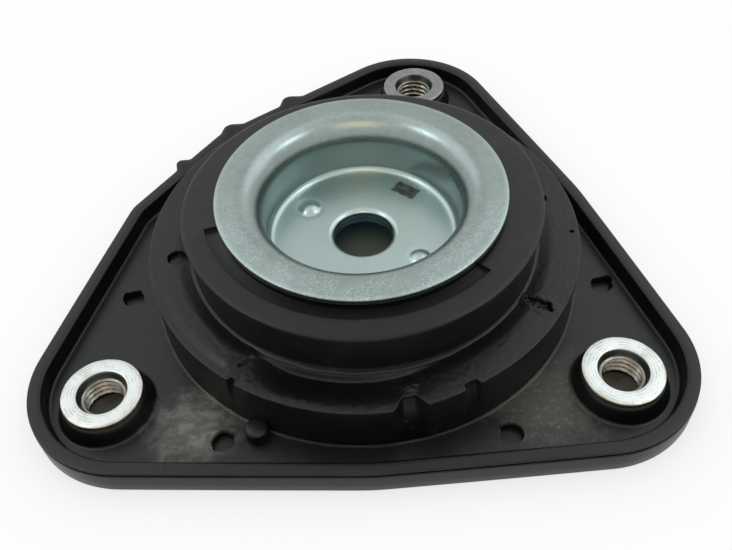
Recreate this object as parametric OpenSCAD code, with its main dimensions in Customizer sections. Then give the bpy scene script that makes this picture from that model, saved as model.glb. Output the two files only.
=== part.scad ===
// Upper strut mount: a moulded plate with three threaded bushes, a stepped turret,
// a rubber bush in the turret and a pressed steel cup that floats on the rubber.
// Origin: centre of the rod hole, on the seat under the dish. Heights named below
// are measured from the plate's underside unless their comment says otherwise.

/* [Plate] */
// Radius of the circle that the three bushes stand on
bolt_circle_r = 67.7; // [65:0.1:72]
// How far that circle's centre lies from the rod's axis, away from the lone bush
bolt_offset = 1.85; // [0:0.05:3]
// Direction of the lone bush from the rod's axis, in degrees
apex_angle = -35; // [-45:1:-25]
// Angle from the lone bush to each of the other two, about the bolt circle's centre
bolt_angle = 110; // [108:1:115]
// How far a corner reaches past the centre of its bush
corner_reach = 15.7; // [14.5:0.1:19]
// Radius of the plate's corners
corner_r = 23.6; // [20:0.1:25]
// Radius of the plate at the middle of its bulged sides
side_r = 59.3; // [58:0.1:61]
// Radius reached by the two shoulders of the third side
shoulder_reach = 63.6; // [61:0.1:66]
// Rounding of those shoulders
shoulder_r = 8; // [5:0.5:12]
// Angle between each shoulder and the middle of the third side
shoulder_angle = 17; // [14:0.5:20]
// Thickness of the plate's floor
floor_h = 2.4; // [2:0.1:3.5]
// Height of the rim
rim_h = 6.6; // [5.5:0.1:7.2]
// Width of the rim
rim_w = 3.2; // [2.5:0.1:4]
// Height of the rim's lower band, under the line round its outside
band_h = 5.6; // [4.2:0.1:5.8]
// Height and depth of the line round the rim's outside
line_w = 0.4; // [0.2:0.05:0.6]

/* [Bushes] */
// Outer radius of a threaded bush
bush_r = 8.55; // [7.8:0.05:9]
// Length of a bush
bush_h = 7.8; // [7.4:0.1:9]
// Bevel round a bush's upper edge
bush_bevel = 0.7; // [0.3:0.1:1]
// Radius of the plain mouth over the thread
mouth_r = 5.4; // [5.1:0.1:6.5]
// Depth of the plain mouth
mouth_d = 1.3; // [0.8:0.1:2]
// Minor radius of the thread
thread_r = 4.19; // [3.3:0.01:4.6]
// Lead-in at the lower end of the thread
lead_in = 0.6; // [0.3:0.1:1]
// Wall of the moulded collar round a bush, at its top
collar_wall = 0.9; // [0.6:0.1:1.2]
// How much wider the collar is at its foot
collar_flare = 0.6; // [0.2:0.1:1]
// How far a bush stands out of its collar
bush_proud = 1.2; // [0.8:0.1:1.6]

/* [Turret] */
// Outer radius of the turret
turret_r = 50.1; // [49:0.1:51]
// Height of the turret
turret_h = 14.5; // [14:0.1:15.5]
// Thickness of the turret's wall
turret_wall = 4.5; // [3.5:0.1:6]
// Thickness of the web that holds the rubber
web_h = 4; // [3.2:0.1:4.4]
// Radius of the hole in the web
web_hole_r = 29.5; // [28.5:0.1:31]
// Height of the raised pad on the turret's top
pad_h = 1; // [0.6:0.1:1.6]
// Outer radius of the pad, inside the turret's edge
pad_r = 48.7; // [47.5:0.1:48.9]
// Direction where the front trough starts
trough_from = -124; // [-130:1:-110]
// Direction where the trough ends
trough_to = -65; // [-75:1:-60]
// Flat land between the trough and each pad, in degrees
land_angle = 2; // [1:0.5:6]
// Distance of the trough's middle from the axis
trough_c = 43.8; // [43.4:0.1:45]
// Radius of the trough's round section
trough_r = 4.5; // [4:0.1:5.5]
// Depth of the trough
trough_d = 1.5; // [0.8:0.1:2]
// Radius of the scallop in the turret's front edge
scallop_r = 3.6; // [2.5:0.1:4.5]
// Direction of the scallop
scallop_angle = -80; // [-90:1:-75]
// Width of the nicks at the trough's ends
nick_w = 2; // [1:0.1:3]
// Depth of the nicks
nick_d = 1.3; // [0.8:0.1:2]

/* [Moulding marks] */
// Radius of the pin holes in the floor
pin_hole_r = 2.4; // [1.8:0.1:2.8]
// Depth of the pin holes
pin_hole_d = 1.4; // [0.8:0.1:1.6]
// Distance of the floor's pin holes from the rod's axis
pin_circle_r = 56.9; // [55:0.1:57.5]
// Length of the moulded slot in the turret's top
top_slot_l = 4; // [2:0.1:5]
// Width of that slot
top_slot_w = 2.4; // [1.5:0.1:3]
// Radius of the peg at the turret's foot
peg_r = 2.5; // [2:0.1:3]
// Distance of the peg from the rod's axis
peg_circle_r = 52.2; // [51:0.1:53]
// Height of the peg over the floor
peg_h = 3.3; // [2.5:0.1:5]
// Direction of the peg
peg_angle = -117; // [-125:1:-110]
// How far the lugs stand out of the rim
lug_proud = 1.4; // [1:0.1:2.5]
// Length of a lug along the rim
lug_l = 6; // [4:0.5:8]
// How far the lugs rise over the rim
lug_rise = 0.8; // [0.4:0.1:1.5]

/* [Rubber] */
// Radius of the rubber drum at its top
drum_r = 40.9; // [39.5:0.1:41.5]
// How much narrower the drum is at its foot
drum_draft = 1; // [0.5:0.1:1.5]
// Height of the drum over the turret
drum_h = 11.8; // [11.2:0.1:12.2]
// Fall of the drum's top towards the rear, in degrees
drum_fall = 3.3; // [1:0.1:4]
// Inner radius of the crescent recess in the drum's top
recess_in_r = 32.6; // [31.5:0.1:33]
// Outer radius of the recess
recess_out_r = 35.8; // [35:0.1:37]
// Depth of the recess
recess_d = 1; // [0.5:0.1:2]
// Direction where the recess starts
recess_from = -166; // [-175:1:-150]
// Direction where the recess ends
recess_to = -43; // [-60:1:-30]
// Radius of the rubber lip under the web
lip_r = 40; // [36:0.1:42]
// Thickness of that lip
lip_h = 2.4; // [2:0.1:2.6]
// Gap between the rubber and the metal it is bonded round
bond_gap = 0.3; // [0.2:0.05:0.4]

/* [Cup and dish] */
// Radius of the cup's flange
flange_r = 33; // [31.5:0.1:34]
// Thickness of the cup's sheet
cup_t = 1.6; // [1.4:0.1:1.9]
// Gap between the flange and the drum under it
flange_gap = 0.7; // [0.5:0.1:1]
// Inner radius of the cup's wall
cup_r = 22.6; // [22:0.1:23.4]
// Depth of the cup under its flange's top
cup_d = 14.2; // [13.6:0.1:14.6]
// Radius of the rolled lip between flange and wall
roll_r = 5.8; // [4.5:0.1:6.5]
// Inner radius of the corner between wall and floor
corner_in_r = 1.9; // [1:0.1:3]
// Radius of the rod hole
rod_r = 7.1; // [6.1:0.1:8.1]
// Width of the bevel round the rod hole
bevel_w = 1.1; // [0.5:0.1:1.5]
// Depth of that bevel
bevel_d = 0.5; // [0.2:0.1:0.8]
// Distance of the weld dimples from the axis
dimple_circle_r = 15.7; // [13:0.1:16.5]
// Radius of a dimple
dimple_r = 2.5; // [1.5:0.1:3]
// Height of a dimple
dimple_h = 0.8; // [0.4:0.1:1.2]
// Thickness of the dish
dish_t = 2; // [1.6:0.1:2.2]
// Radius of the dish's flat seat
seat_r = 19; // [17:0.1:20]
// Radius where the dish's slope meets its flange
slope_r = 29.8; // [28.5:0.1:31]
// Outer radius of the dish's flange
dish_r = 38; // [34:0.1:41]
// Height of the dish's flange over the plate's underside
dish_z = 2.8; // [2.6:0.1:3]

/* [Hidden] */
$fn = 96;
over = 1;
side_in = 0.02;
drum_top = turret_h + drum_h;
flange_top = drum_top + flange_gap + cup_t;
cup_floor = flange_top - cup_d;
dish_top = cup_floor - cup_t;
seat_z = dish_top - dish_t;
web_z = turret_h - web_h;
pad_top = turret_h + pad_h;
pad_in_r = drum_r + bond_gap;
pad_c = (pad_in_r + pad_r) / 2;
lip_z = web_z - lip_h;
cup_out_r = cup_r + cup_t;
bonded_r = cup_out_r + bond_gap;
roll_c = cup_r + roll_r;
rear_angle = apex_angle + 180;
collar_r = bush_r + collar_wall;
corner_c = bolt_circle_r + corner_reach - corner_r;
shoulder_c = shoulder_reach - shoulder_r;
// Directions of the floor's pin holes, the turret's hole and slot, and the lugs
pin_angles = [-173, -123, -59, -9];
top_hole_angle = -172;
top_slot_angle = -34;
lug_angles = [143, 125.4, 107.8];
fall_angle = 110;
bolt_centre = polar(-bolt_offset, apex_angle);
// Places of the left, right and rear bushes
bush_places = [
    for (k = [-1 : 1])
        bolt_centre + polar(bolt_circle_r, apex_angle + k * bolt_angle)
];

function polar(r, a) = [r * cos(a), r * sin(a)];
function corner(k) = concat(bolt_centre + polar(corner_c, apex_angle + k * bolt_angle), corner_r);
function shoulder(k) = concat(polar(shoulder_c, rear_angle + k * shoulder_angle), shoulder_r);

// Circles that the plate's edge wraps, in order round the plate
wrap = [
    corner(0),
    [0, 0, side_r],
    corner(1),
    shoulder(-1),
    shoulder(1),
    corner(-1),
    [0, 0, side_r]
];
last = len(wrap) - 1;

// Ends of the outer tangent from one circle to the next
function tangent(p, q, inset) =
    let (
        d = norm([q[0] - p[0], q[1] - p[1]]),
        n = atan2(q[1] - p[1], q[0] - p[0]) - acos((p[2] - q[2]) / d)
    )
    [for (c = [p, q]) [c[0], c[1]] + polar(c[2] - inset, n)];

// The plate's outline, drawn in from its edge by inset. The sides run a hair inside
// the true tangents, so that each side and corner cross in clean points.
module outline(inset = 0) {
    polygon([
        for (i = [0 : last])
            each tangent(wrap[i], wrap[i == last ? 0 : i + 1], inset + side_in)
    ]);
    for (i = [0 : last - 1])
        translate([wrap[i][0], wrap[i][1]])
            circle(r = wrap[i][2] - inset);
}

// Distance from the axis to the plate's edge in direction a, on its corners and its flat sides
function edge_r(a) =
    let (v = polar(1, a))
    max(concat(
        [for (c = wrap)
            let (
                m = v * [c[0], c[1]],
                h = c[2] * c[2] + m * m - c[0] * c[0] - c[1] * c[1]
            )
            h > 0 ? m + sqrt(h) : 0],
        [for (i = [0 : last])
            let (
                e = tangent(wrap[i], wrap[i == last ? 0 : i + 1], 0),
                u = (e[1] - e[0]) / norm(e[1] - e[0]),
                n = [u[1], -u[0]],
                s = (n * e[0]) / (n * v),
                t = (s * v - e[0]) * u
            )
            t >= 0 && t <= norm(e[1] - e[0]) && s > 0 ? s : 0]
    ));

// Moves a shape drawn from the plate's underside into the part's frame
module on_plate() {
    translate([0, 0, -seat_z])
        children();
}

// A ring-shaped sector with its section drawn by the children
module sector(from, to) {
    rotate([0, 0, from])
        rotate_extrude(angle = to - from)
            children();
}

module rim() {
    difference() {
        linear_extrude(rim_h)
            difference() {
                outline();
                outline(rim_w);
            }
        translate([0, 0, band_h])
            linear_extrude(line_w)
                difference() {
                    outline(-over);
                    outline(line_w);
                }
    }
}

// Rounded stops on the outside of the rim
module lugs() {
    difference() {
        for (a = lug_angles)
            translate(concat(polar(edge_r(a) + lug_proud - lug_l / 2, a), band_h + line_w))
                cylinder(d = lug_l, h = rim_h - band_h - line_w + lug_rise);
        linear_extrude(rim_h + lug_rise + over)
            outline(rim_w);
    }
}

module turret() {
    cylinder(r = turret_r, h = turret_h);
    translate([0, 0, turret_h])
        sector(trough_to, trough_from + 360)
            translate([pad_in_r, 0])
                square([pad_r - pad_in_r, pad_h]);
}

module turret_cuts() {
    translate([0, 0, -over])
        cylinder(r = turret_r - turret_wall, h = web_z + over);
    cylinder(r = web_hole_r, h = turret_h + over);
    sector(trough_from + land_angle, trough_to - land_angle)
        translate([trough_c, turret_h + trough_r - trough_d])
            circle(r = trough_r);
    translate(concat(polar(turret_r, scallop_angle), web_z))
        cylinder(r = scallop_r, h = web_h + over);
    for (a = [trough_from, trough_to])
        rotate([0, 0, a])
            translate([turret_r - nick_d, -nick_w / 2, web_z])
                cube([nick_d + over, nick_w, web_h + pad_h + over]);
    translate(concat(polar(pad_c, top_hole_angle), pad_top - pin_hole_d))
        cylinder(r = pin_hole_r, h = pin_hole_d + over);
    rotate([0, 0, top_slot_angle])
        translate([pad_c - top_slot_l / 2, -top_slot_w / 2, pad_top - pin_hole_d])
            cube([top_slot_l, top_slot_w, pin_hole_d + over]);
}

module mount_body() {
    color([0.15, 0.16, 0.17])
        on_plate()
            difference() {
                union() {
                    linear_extrude(floor_h)
                        outline();
                    rim();
                    lugs();
                    turret();
                    for (p = bush_places)
                        translate(p)
                            cylinder(r1 = collar_r + collar_flare, r2 = collar_r, h = bush_h - bush_proud);
                    translate(polar(peg_circle_r, peg_angle))
                        cylinder(r = peg_r, h = floor_h + peg_h);
                }
                turret_cuts();
                for (p = bush_places)
                    translate(concat(p, -over))
                        cylinder(r = bush_r, h = bush_h + 2 * over);
                for (a = pin_angles)
                    translate(concat(polar(pin_circle_r, a), floor_h - pin_hole_d))
                        cylinder(r = pin_hole_r, h = pin_hole_d + over);
            }
}

// One bush, standing at its place p on the bolt circle
module threaded_bush(p) {
    color([0.82, 0.83, 0.84])
        on_plate()
            translate(p)
                difference() {
                    union() {
                        cylinder(r = bush_r, h = bush_h - bush_bevel);
                        translate([0, 0, bush_h - bush_bevel])
                            cylinder(r1 = bush_r, r2 = bush_r - bush_bevel, h = bush_bevel);
                    }
                    translate([0, 0, -over])
                        cylinder(r = thread_r, h = bush_h + 2 * over);
                    translate([0, 0, bush_h - mouth_d])
                        cylinder(r = mouth_r, h = mouth_d + over);
                    translate([0, 0, -over])
                        cylinder(r1 = thread_r + lead_in + over, r2 = thread_r, h = lead_in + over);
                }
}

module threaded_bush_left() {
    threaded_bush(bush_places[0]);
}

module threaded_bush_right() {
    threaded_bush(bush_places[1]);
}

module threaded_bush_rear() {
    threaded_bush(bush_places[2]);
}

// Half section of the rubber, from the cup's wall out
module rubber_section() {
    neck_r = web_hole_r - bond_gap;
    foot_r = drum_r - drum_draft;
    roll_z = flange_top - roll_r;
    difference() {
        polygon([
            [bonded_r, dish_top],
            [neck_r, lip_z],
            [lip_r, lip_z],
            [lip_r, web_z],
            [neck_r, web_z],
            [neck_r, turret_h],
            [foot_r, turret_h],
            [drum_r, drum_top],
            [bonded_r, drum_top]
        ]);
        difference() {
            translate([bonded_r - over, roll_z])
                square([roll_c - bonded_r + over, roll_r]);
            translate([roll_c, roll_z])
                circle(r = roll_r - cup_t - bond_gap);
        }
    }
}

module rubber_bush() {
    color([0.12, 0.12, 0.13])
        on_plate()
            difference() {
                rotate_extrude()
                    rubber_section();
                sector(recess_from, recess_to)
                    translate([recess_in_r, drum_top - recess_d])
                        square([recess_out_r - recess_in_r, recess_d + over]);
                translate([0, 0, drum_top])
                    rotate([0, drum_fall, fall_angle])
                        translate([-2 * drum_r, -2 * drum_r, 0])
                            cube([4 * drum_r, 4 * drum_r, drum_h]);
            }
}

// One quarter of a bent sheet's section: outer bend radius r, sheet t, about the origin
module bend(r, t) {
    intersection() {
        difference() {
            circle(r = r);
            circle(r = r - t);
        }
        square(r);
    }
}

// Half section of the cup's sheet
module cup_section() {
    fold_r = corner_in_r + cup_t;
    fold_c = cup_r - corner_in_r;
    roll_z = flange_top - roll_r;
    translate([roll_c, flange_top - cup_t])
        square([flange_r - roll_c, cup_t]);
    translate([roll_c, roll_z])
        mirror([1, 0])
            bend(roll_r, cup_t);
    translate([cup_r, cup_floor + corner_in_r])
        square([cup_t, roll_z - cup_floor - corner_in_r]);
    translate([fold_c, cup_floor + corner_in_r])
        mirror([0, 1])
            bend(fold_r, cup_t);
    translate([rod_r, dish_top])
        square([fold_c - rod_r, cup_t]);
}

// A low spherical cap that stands on the cup's floor
module dimple() {
    ball_r = (dimple_r * dimple_r + dimple_h * dimple_h) / (2 * dimple_h);
    intersection() {
        translate([0, 0, dimple_h - ball_r])
            sphere(r = ball_r);
        translate([0, 0, -cup_t / 2])
            cylinder(r = dimple_r, h = cup_t);
    }
}

module rod_cup() {
    color([0.68, 0.71, 0.71])
        on_plate()
            difference() {
                union() {
                    rotate_extrude()
                        cup_section();
                    for (a = [apex_angle, rear_angle])
                        translate(concat(polar(dimple_circle_r, a), cup_floor))
                            dimple();
                }
                translate([0, 0, cup_floor - bevel_d])
                    cylinder(r1 = rod_r, r2 = rod_r + 2 * bevel_w, h = 2 * bevel_d);
            }
}

module support_dish() {
    slope = (dish_top - dish_z - dish_t) / (slope_r - seat_r);
    wall = dish_t * (sqrt(1 + slope * slope) - 1) / slope;
    color([0.62, 0.64, 0.64])
        on_plate()
            rotate_extrude()
                polygon([
                    [rod_r, seat_z],
                    [seat_r - wall, seat_z],
                    [slope_r - wall, dish_z],
                    [dish_r, dish_z],
                    [dish_r, dish_z + dish_t],
                    [slope_r, dish_z + dish_t],
                    [seat_r, dish_top],
                    [rod_r, dish_top]
                ]);
}

mount_body();
threaded_bush_left();
threaded_bush_right();
threaded_bush_rear();
rubber_bush();
rod_cup();
support_dish();
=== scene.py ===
"""Looks of an upper strut mount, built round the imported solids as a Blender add-on."""

import math

import bmesh
import bpy
import numpy as np
from bpy.props import FloatProperty, FloatVectorProperty, PointerProperty
from bpy.types import Operator, Panel, PropertyGroup
from mathutils import Matrix, Vector, noise
from mathutils.geometry import delaunay_2d_cdt


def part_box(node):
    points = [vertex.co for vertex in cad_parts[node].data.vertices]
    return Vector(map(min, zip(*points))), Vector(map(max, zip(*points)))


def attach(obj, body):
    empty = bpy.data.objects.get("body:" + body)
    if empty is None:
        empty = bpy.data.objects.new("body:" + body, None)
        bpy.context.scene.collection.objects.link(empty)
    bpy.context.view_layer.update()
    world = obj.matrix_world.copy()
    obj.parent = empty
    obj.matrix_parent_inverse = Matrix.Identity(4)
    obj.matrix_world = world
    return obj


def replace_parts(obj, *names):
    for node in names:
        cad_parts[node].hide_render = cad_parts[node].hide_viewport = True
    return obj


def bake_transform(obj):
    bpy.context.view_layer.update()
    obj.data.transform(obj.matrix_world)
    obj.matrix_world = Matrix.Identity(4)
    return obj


bl_info = {
    "name": "Strut mount",
    "version": (1, 0, 0),
    "blender": (4, 5, 0),
    "location": "View3D > Sidebar > Strut mount",
    "description": "Builds the moulded body, bushes, rubber, cup and dish of a strut mount",
    "category": "Add Mesh",
}

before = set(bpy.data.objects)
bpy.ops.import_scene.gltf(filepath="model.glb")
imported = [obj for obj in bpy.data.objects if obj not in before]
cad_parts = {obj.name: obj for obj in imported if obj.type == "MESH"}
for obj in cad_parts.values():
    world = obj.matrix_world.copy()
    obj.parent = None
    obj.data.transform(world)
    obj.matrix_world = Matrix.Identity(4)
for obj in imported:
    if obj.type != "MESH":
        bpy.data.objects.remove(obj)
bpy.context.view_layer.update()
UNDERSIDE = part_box("mount_body")[0].z * 1000

# Places on the moulded body, in millimetres, with bearings in degrees from +X
LUGS = ((145.8, 140.0, 1.0), (129.2, 121.5, 0.85), (111.5, 104.1, 1.0))
SCALLOP_BEARING, SCALLOP_DEPTH = -80.2, 3.1
NICKS = ((-124.2, 1.25, 1.2), (-65.1, 2.2, 1.5))
PIN_CIRCLE = 56.9
PIN_HOLES = ((-172.8, 2.6, 0.5), (-123.1, -2.2, 0.25), (-58.9, 2.4, 0.3), (-9.4, 0.75, 1.1))
PIN_DEPTH = 1.95
PEG_RADIUS, PEG_BEARING = 52.3, -117
TURRET_INSIDE = 40.6
SIDE_BOW = 0.2

# How far each bush is turned in its hole, in radians, and the bearings of the weld dimples
BUSH_SPINS = {"left": 2.1, "right": 0.4, "rear": 1.2}
DIMPLE_BEARINGS = (-35, 145)

# Lamps, with places and widths in metres and powers in watts
COOL, WARM = (0.92, 1.0, 0.985), (1.0, 0.66, 0.28)
LAMPS = (
    ("left_rear", (-0.38, 0.34, 0.6), 0.55, 0.68, COOL),
    ("right_rear", (0.37, 0.35, 0.6), 0.55, 0.85, COOL),
    ("left_side", (-0.38, 0.02, 0.58), 0.11, 0.38, COOL),
    ("right_side", (0.38, 0.02, 0.58), 0.11, 0.38, COOL),
    ("warm_front", (-0.01, -0.33, 0.6), 0.3, 0.42, WARM),
)

# Floor and sky: white where they are seen, with a painted contact shadow at the part's foot and painted shade
# on the floor under its holes
WHITE, CONTACT_SHADE, SKY_LIGHT = (1, 1, 1), (0.66, 0.66, 0.66), (0.2, 0.2, 0.2)
# Painted shade: a darker, bluer floor under the rod hole and a darker floor under the bushes
PAINTED_SHADE_UNDER_ROD, PAINTED_SHADE_UNDER_BUSH = (0.38, 0.58, 0.68), (0.18, 0.2, 0.19)
FLOOR_RADIUS, FLOOR_SIDES, CONTACT_REACH = 3, 64, 0.02

# Camera in the row frame: lens and sensor in millimetres, place in metres, and its three axes
CAMERA_LENS, CAMERA_SENSOR = 40.966, 36
CAMERA_PLACE = (0.003114, -0.138718, 0.143635)
CAMERA_AXES = (
    (0.998866, -0.023708, -0.041287),
    (0.045182, 0.745421, 0.665061),
    (0.015008, -0.666173, 0.745647),
)


def size(name, mm, words):
    """A length property, given in millimetres."""
    return FloatProperty(name=name, description=words, default=mm / 1000, min=0, precision=4, unit="LENGTH")


def turn(name, degrees, words):
    """An angle property, given in degrees."""
    return FloatProperty(name=name, description=words, default=math.radians(degrees), subtype="ANGLE")


def tint(name, colour, words):
    """A colour property."""
    return FloatVectorProperty(name=name, description=words, default=colour, min=0, max=1, subtype="COLOR")


class BodySizes(PropertyGroup):
    """Sizes of the moulded body, with heights over the plate's underside."""

    bolt_circle: size("Bolt circle", 67.7, "Radius of the circle that the bushes stand on")
    bolt_offset: size("Bolt circle offset", 1.85, "Distance of that circle's centre from the rod's axis")
    apex: turn("Lone bush", -35, "Direction of the lone bush from the rod's axis")
    bolt_turn: turn("Bush spacing", 110, "Angle from the lone bush to each of the others")
    corner_reach: size("Corner reach", 15.7, "How far a corner reaches past its bush")
    corner: size("Corner radius", 23.6, "Radius of the plate's corners")
    side: size("Side radius", 59.3, "Radius of the plate at its bulged sides")
    shoulder_reach: size("Shoulder reach", 63.6, "Radius reached by the shoulders of the third side")
    shoulder: size("Shoulder radius", 8, "Rounding of the shoulders")
    shoulder_turn: turn("Shoulder angle", 17, "Angle from the third side's middle to a shoulder")
    floor: size("Floor", 2.4, "Thickness of the plate's floor")
    rim: size("Rim", 6.6, "Height of the rim")
    rim_width: size("Rim width", 3.2, "Width of the rim")
    band: size("Band", 5.6, "Height of the rim's lower band")
    line: size("Line", 0.4, "Height and depth of the line round the rim")
    collar: size("Collar", 6.6, "Height of the collars round the bushes")
    turret: size("Turret radius", 50.1, "Outer radius of the turret")
    turret_top: size("Turret height", 14.5, "Height of the turret")
    turret_wall: size("Turret wall", 4.5, "Thickness of the turret's wall")
    web: size("Web", 4, "Thickness of the web that holds the rubber")
    web_hole: size("Web hole", 29.5, "Radius of the hole in the web")
    pad: size("Pad", 1, "Height of the raised pad on the turret")
    trough: size("Trough depth", 1.5, "Depth of the trough at the turret's front")
    pin_hole: size("Pin hole", 2.4, "Radius of the pin holes in the floor")
    lug: size("Lug", 1.5, "How far the lugs stand out of the rim")


class BushSizes(PropertyGroup):
    """Sizes of a threaded bush."""

    radius: size("Radius", 8.55, "Outer radius of a bush")
    length: size("Length", 7.8, "Length of a bush")
    bevel: size("Head", 0.7, "Height of the straight edge round the head")
    mouth: size("Mouth", 5.4, "Radius of the plain mouth over the thread")
    mouth_depth: size("Mouth depth", 1.8, "Depth of the plain mouth")
    minor: size("Thread minor radius", 4.19, "Inner radius of the thread")
    major: size("Thread major radius", 5, "Outer radius of the thread")
    pitch: size("Pitch", 1.5, "Pitch of the thread")


class RubberSizes(PropertyGroup):
    """Sizes of the rubber bush."""

    top: size("Drum radius", 40.9, "Radius of the drum at its top")
    draft: size("Draft", 1, "How much narrower the drum is at its foot")
    height: size("Drum height", 11.8, "Height of the drum over the turret")
    fall: turn("Fall", 3.3, "Fall of the drum's top towards the rear")
    recess_in: size("Recess inside", 32.6, "Inner radius of the crescent recess")
    recess_out: size("Recess outside", 35.8, "Outer radius of the crescent recess")
    recess: size("Recess depth", 1, "Depth of the crescent recess")
    lip: size("Lip radius", 40, "Radius of the lip under the web")
    lip_height: size("Lip", 2.4, "Thickness of the lip under the web")


class CupSizes(PropertyGroup):
    """Sizes of the pressed cup and of the dish under it."""

    flange: size("Flange radius", 33, "Radius of the cup's flange")
    flange_top: size("Flange height", 28.6, "Height of the flange's top over the plate's underside")
    sheet: size("Sheet", 1.6, "Thickness of the cup's sheet")
    wall: size("Cup radius", 22.6, "Inner radius of the cup's wall")
    depth: size("Cup depth", 14.2, "Depth of the cup under its flange")
    roll: size("Roll radius", 5.8, "Radius of the rolled lip")
    corner: size("Corner radius", 1.9, "Radius between wall and floor")
    rod: size("Rod hole", 7.1, "Radius of the rod hole")
    dimple_circle: size("Dimple circle", 15.7, "Distance of the weld dimples from the axis")
    dimple: size("Dimple radius", 2.5, "Radius of a dimple")
    dimple_height: size("Dimple height", 0.8, "Height of a dimple")
    dish: size("Dish radius", 38, "Radius of the dish's flange")
    dish_sheet: size("Dish sheet", 2, "Thickness of the dish")
    seat: size("Seat radius", 19, "Radius of the dish's flat seat")
    slope: size("Slope radius", 29.8, "Radius where the dish's slope meets its flange")
    dish_height: size("Dish height", 2.8, "Height of the dish's flange over the plate's underside")


class FinishColours(PropertyGroup):
    """Colours of the finishes."""

    nylon: tint("Nylon", (0.0042, 0.0046, 0.0052), "Moulded black nylon")
    # Pale nylon is also the painted sheen of the patches on the floor
    nylon_pale: tint("Pale nylon", (0.3, 0.305, 0.29), "Flow marks and scuffs on the nylon")
    rubber: tint("Rubber", (0.0042, 0.0044, 0.0046), "Moulded black rubber")
    zinc: tint("Cup zinc", (0.24, 0.283, 0.276), "Satin zinc plate of the cup and dish")
    # Painted shading: the lighter, greener tint of the cup's wall
    zinc_drawn: tint("Drawn zinc", (0.33, 0.43, 0.415), "Greener plate on the cup's drawn wall")
    # Bright zinc for rubbed spots, also painted as light on the cup's floor and the dish
    zinc_bright: tint("Worn zinc", (0.42, 0.53, 0.51), "Bright rubbed spots on the cup")
    bush: tint("Bush zinc", (0.52, 0.54, 0.53), "Bright zinc plate of the bushes")
    # Painted shade: a darker copy of the bush zinc for the rear bush
    bush_dull: tint("Dull bush zinc", (0.2, 0.215, 0.215), "Zinc of the rear bush, which is duller")
    # Tarnish on the thread's crests, darkened as painted shade
    tarnish: tint("Tarnish", (0.18, 0.17, 0.13), "Yellowed crests of the thread")
    ink: tint("Ink", (0.03, 0.034, 0.03), "Inspection mark in the cup")
    floor: tint("Stage floor", (0.8, 0.8, 0.8), "Plain floor under the part")


def read(group):
    """A group's lengths in millimetres and its angles in radians."""
    found = {}
    for prop in group.bl_rna.properties:
        if prop.type == "FLOAT" and prop.array_length == 0:
            value = getattr(group, prop.identifier)
            found[prop.identifier] = value if prop.unit == "ROTATION" else value * 1000
    return found


def polar(radius, angle):
    """Points at a distance and direction from the axis."""
    return np.stack(np.broadcast_arrays(radius * np.cos(angle), radius * np.sin(angle)), -1)


def step(low, high, x):
    """Smooth step from 0 at low to 1 at high."""
    t = np.clip((np.asarray(x, float) - low) / (high - low), 0, 1)
    return t * t * (3 - 2 * t)


def ragged(points, scale, seed):
    """Even noise from -1 to 1 at each point."""
    return np.array([noise.noise(Vector((p[0] * scale, p[1] * scale, seed))) for p in points])


def inside(points, loop):
    """Which points lie inside a closed row."""
    found = np.zeros(len(points), bool)
    ends = np.roll(loop, -1, 0)
    for (ax, ay), (bx, by) in zip(loop, ends):
        if ay != by:
            crosses = (points[:, 1] < ay) != (points[:, 1] < by)
            found ^= crosses & (points[:, 0] < (bx - ax) * (points[:, 1] - ay) / (by - ay) + ax)
    return found


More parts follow.
